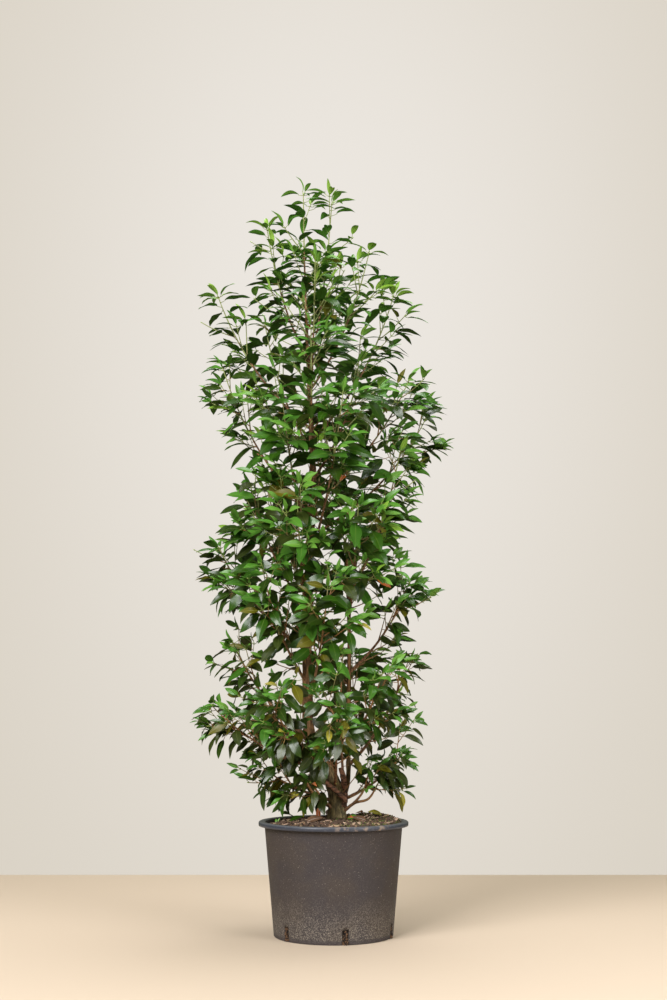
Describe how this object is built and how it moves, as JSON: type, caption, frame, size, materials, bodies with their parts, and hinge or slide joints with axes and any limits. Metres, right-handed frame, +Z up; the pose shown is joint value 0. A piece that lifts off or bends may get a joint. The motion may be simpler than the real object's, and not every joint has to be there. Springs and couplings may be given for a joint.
{
  "type": "potted portuguese laurel",
  "caption": "Tall slender evergreen shrub with a leaning trunk, steep leafy boughs and glossy pointed leaves, growing in a round tapered plant pot.",
  "frame": {"origin": "middle of the pot's flat underside", "axes": "+Z up along the plant, -Y towards the front, +X to the right as seen from the front"},
  "size_m": [0.7202, 0.6044, 2.0968],
  "materials": {
    "pot": "matt dark grey-brown plastic, dusty near the foot, bluish grey scuffed rim",
    "compost": "coarse damp bark compost with chips and moss",
    "bark": "reddish-brown young bark, grey-green and rougher near the foot",
    "foliage": "glossy dark green leaves, brighter yellow-green at the shoot tips"
  },
  "bodies": {
    "root": {"bough_far_left": "bark", "bough_far_right": "bark", "bough_foot_left": "bark", "bough_high_front": "bark", "bough_high_left": "bark", "bough_high_right": "bark", "bough_low_left": "bark", "bough_low_right": "bark", "bough_mid_left": "bark", "bough_mid_right": "bark", "bough_second_leader": "bark", "bough_top_right": "bark", "bough_upper_left": "bark", "bough_upper_right": "bark", "bough_waist_front": "bark", "bough_waist_front_left": "bark", "bough_waist_right": "bark", "compost": "compost", "foliage_far_left": "foliage", "foliage_far_right": "foliage", "foliage_foot_back_left": "foliage", "foliage_foot_front": "foliage", "foliage_foot_front_left": "foliage", "foliage_foot_left": "foliage", "foliage_foot_right": "foliage", "foliage_high_back": "foliage", "foliage_high_front": "foliage", "foliage_high_front_left": "foliage", "foliage_high_left": "foliage", "foliage_high_right": "foliage", "foliage_leader": "foliage", "foliage_low_back": "foliage", "foliage_low_front_right": "foliage", "foliage_low_left": "foliage", "foliage_low_left_skirt": "foliage", "foliage_low_right": "foliage", "foliage_mid_back": "foliage", "foliage_mid_back_left": "foliage", "foliage_mid_front": "foliage", "foliage_mid_front_right": "foliage", "foliage_mid_left": "foliage", "foliage_mid_right": "foliage", "foliage_second_leader": "foliage", "foliage_top_back": "foliage", "foliage_top_front": "foliage", "foliage_top_left": "foliage", "foliage_top_right": "foliage", "foliage_upper_back_left": "foliage", "foliage_upper_back_right": "foliage", "foliage_upper_front": "foliage", "foliage_upper_left": "foliage", "foliage_upper_right": "foliage", "foliage_waist_back": "foliage", "foliage_waist_front": "foliage", "foliage_waist_front_left": "foliage", "foliage_waist_right": "foliage", "pot": "pot", "second_stem": "bark", "trunk": "bark"}
  },
  "joints": []
}
